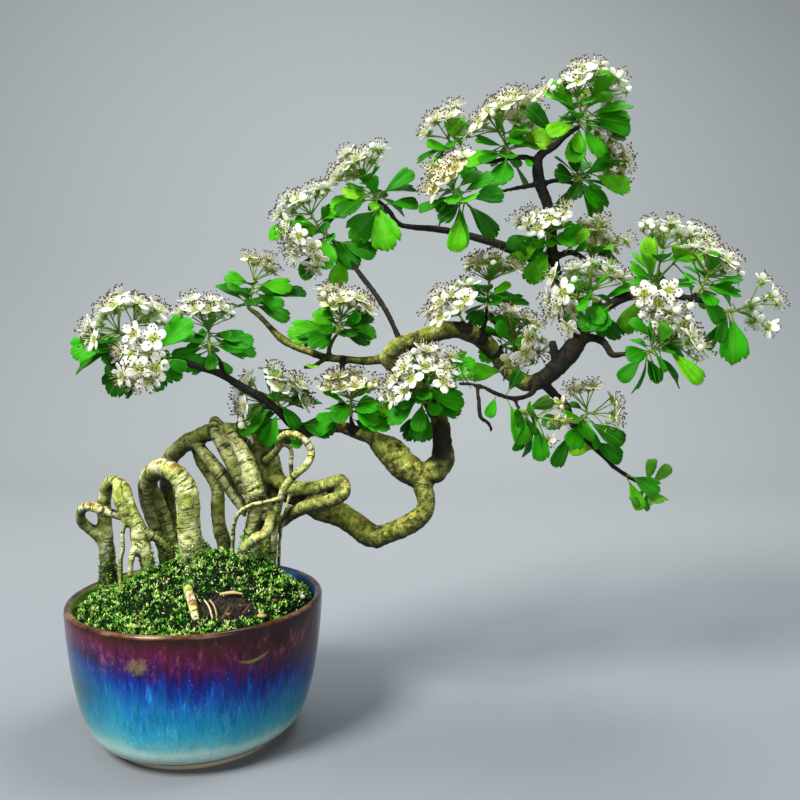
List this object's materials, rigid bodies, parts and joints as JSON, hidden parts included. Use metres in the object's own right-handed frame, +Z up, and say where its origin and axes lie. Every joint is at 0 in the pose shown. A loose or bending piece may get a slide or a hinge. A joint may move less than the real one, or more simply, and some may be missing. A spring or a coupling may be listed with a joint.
{
  "type": "flowering hawthorn bonsai in a pot",
  "caption": "Hawthorn bonsai in blossom with arching exposed roots and a trunk that leans far to one side, in a round glazed bowl with a mossy mound of soil.",
  "frame": {"origin": "middle of the bottom of the whole plant's bounding box, at the height of the pot's foot", "axes": "+X towards the side that the tree leans to, +Y away from the front, +Z up"},
  "size_m": [0.425, 0.156, 0.4141],
  "materials": {
    "glazed_pot": "high gloss glaze running from brown at the rim through blue to cream at the foot",
    "net_plastic": "matte",
    "soil": "damp crumbly soil",
    "moss": "short soft moss",
    "bark": "rough bark with lighter rings on the roots",
    "leaf": "slightly glossy leaf",
    "blossom": "matte white petals on green stalks"
  },
  "bodies": {
    "root": {"blooms_arch_back": "blossom", "blooms_arch_front": "blossom", "blooms_bend_top": "blossom", "blooms_cross_left": "blossom", "blooms_cross_right": "blossom", "blooms_crown": "blossom", "blooms_crown_left": "blossom", "blooms_cut_tip": "blossom", "blooms_fall_drop": "blossom", "blooms_fall_side": "blossom", "blooms_far_left": "blossom", "blooms_gap_left": "blossom", "blooms_gap_mid": "blossom", "blooms_inner": "blossom", "blooms_left_front": "blossom", "blooms_left_high": "blossom", "blooms_left_top": "blossom", "blooms_mid_left": "blossom", "blooms_mid_top": "blossom", "blooms_right_end": "blossom", "blooms_right_front": "blossom", "blooms_right_inner": "blossom", "blooms_right_low": "blossom", "blooms_right_mid": "blossom", "blooms_right_top": "blossom", "blooms_top_mid": "blossom", "blooms_top_right": "blossom", "blooms_trunk_front": "blossom", "drain_net": "net_plastic", "leaves_arch_back": "leaf", "leaves_bend_top": "leaf", "leaves_cross_left": "leaf", "leaves_cross_right": "leaf", "leaves_crown": "leaf", "leaves_crown_left": "leaf", "leaves_cut_tip": "leaf", "leaves_fall_drop": "leaf", "leaves_fall_side": "leaf", "leaves_fall_tip": "leaf", "leaves_far_left": "leaf", "leaves_gap_left": "leaf", "leaves_gap_mid": "leaf", "leaves_inner": "leaf", "leaves_left_front": "leaf", "leaves_left_high": "leaf", "leaves_left_top": "leaf", "leaves_mid_left": "leaf", "leaves_mid_top": "leaf", "leaves_right_end": "leaf", "leaves_right_inner": "leaf", "leaves_right_low": "leaf", "leaves_right_mid": "leaf", "leaves_right_top": "leaf", "leaves_top_mid": "leaf", "leaves_top_right": "leaf", "leaves_trunk_front": "leaf", "moss": "moss", "pot": "glazed_pot", "soil": "soil", "tree": "bark"}
  },
  "joints": []
}
